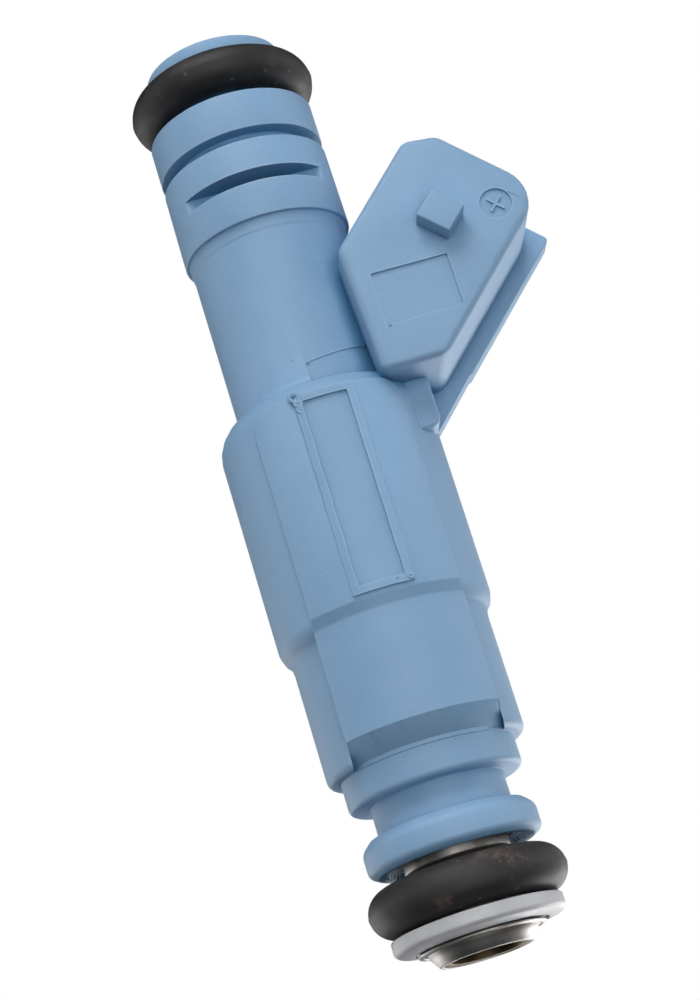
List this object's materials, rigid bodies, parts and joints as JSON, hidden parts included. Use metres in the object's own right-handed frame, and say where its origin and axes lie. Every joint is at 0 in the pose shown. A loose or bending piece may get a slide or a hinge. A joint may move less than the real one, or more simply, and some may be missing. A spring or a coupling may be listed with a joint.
{
  "type": "fuel injector",
  "caption": "Top-feed electromagnetic fuel injector: blue moulded body with an oblique plug socket, seal rings at both ends and an electromagnetic needle valve inside.",
  "frame": {"origin": "centre of the lower seal ring, on the injector's axis", "axes": "+Z along the axis from the outlet to the inlet, +X the side that the connector leans to, -Y the front face"},
  "size_m": [0.0289, 0.0206, 0.0721],
  "materials": {
    "blue_nylon": "fine moulded texture, light blue glass-filled nylon",
    "rubber": "black, slight sheen",
    "white_nylon": "translucent off-white",
    "core_steel": "machined",
    "stainless": "turned",
    "spring_steel": "drawn",
    "brass": "machined",
    "bronze": "darkened",
    "copper": "enamelled copper wire",
    "tinned_brass": "tin plated",
    "filter_nylon": "natural nylon",
    "mesh_wire": "woven",
    "bobbin_nylon": "black nylon"
  },
  "bodies": {
    "injector_body": {"housing_overmould": "blue_nylon", "upper_o_ring": "rubber", "lower_o_ring": "rubber", "nose_cap": "white_nylon", "inlet_tube": "core_steel", "filter_collar": "brass", "filter_frame": "filter_nylon", "filter_mesh": "mesh_wire", "adjusting_sleeve": "spring_steel", "return_spring": "spring_steel", "nonmagnetic_ring": "stainless", "coil_bobbin": "bobbin_nylon", "coil_winding": "copper", "front_yoke_strap": "core_steel", "rear_yoke_strap": "core_steel", "terminal_blade_plus": "tinned_brass", "terminal_blade_minus": "tinned_brass", "valve_carrier": "stainless", "valve_seat": "stainless", "orifice_plate": "bronze"},
    "valve_needle": {"armature": "core_steel", "needle_tube": "stainless", "valve_ball": "stainless"}
  },
  "joints": [
    {"name": "needle_lift", "type": "slide", "parent": "injector_body", "child": "valve_needle", "axis": [0, 0, 1], "range_m": [0, 0.0001], "stiffness_N_per_m": 400, "springref_m": -0.0001, "deforming": ["return_spring"]}
  ]
}
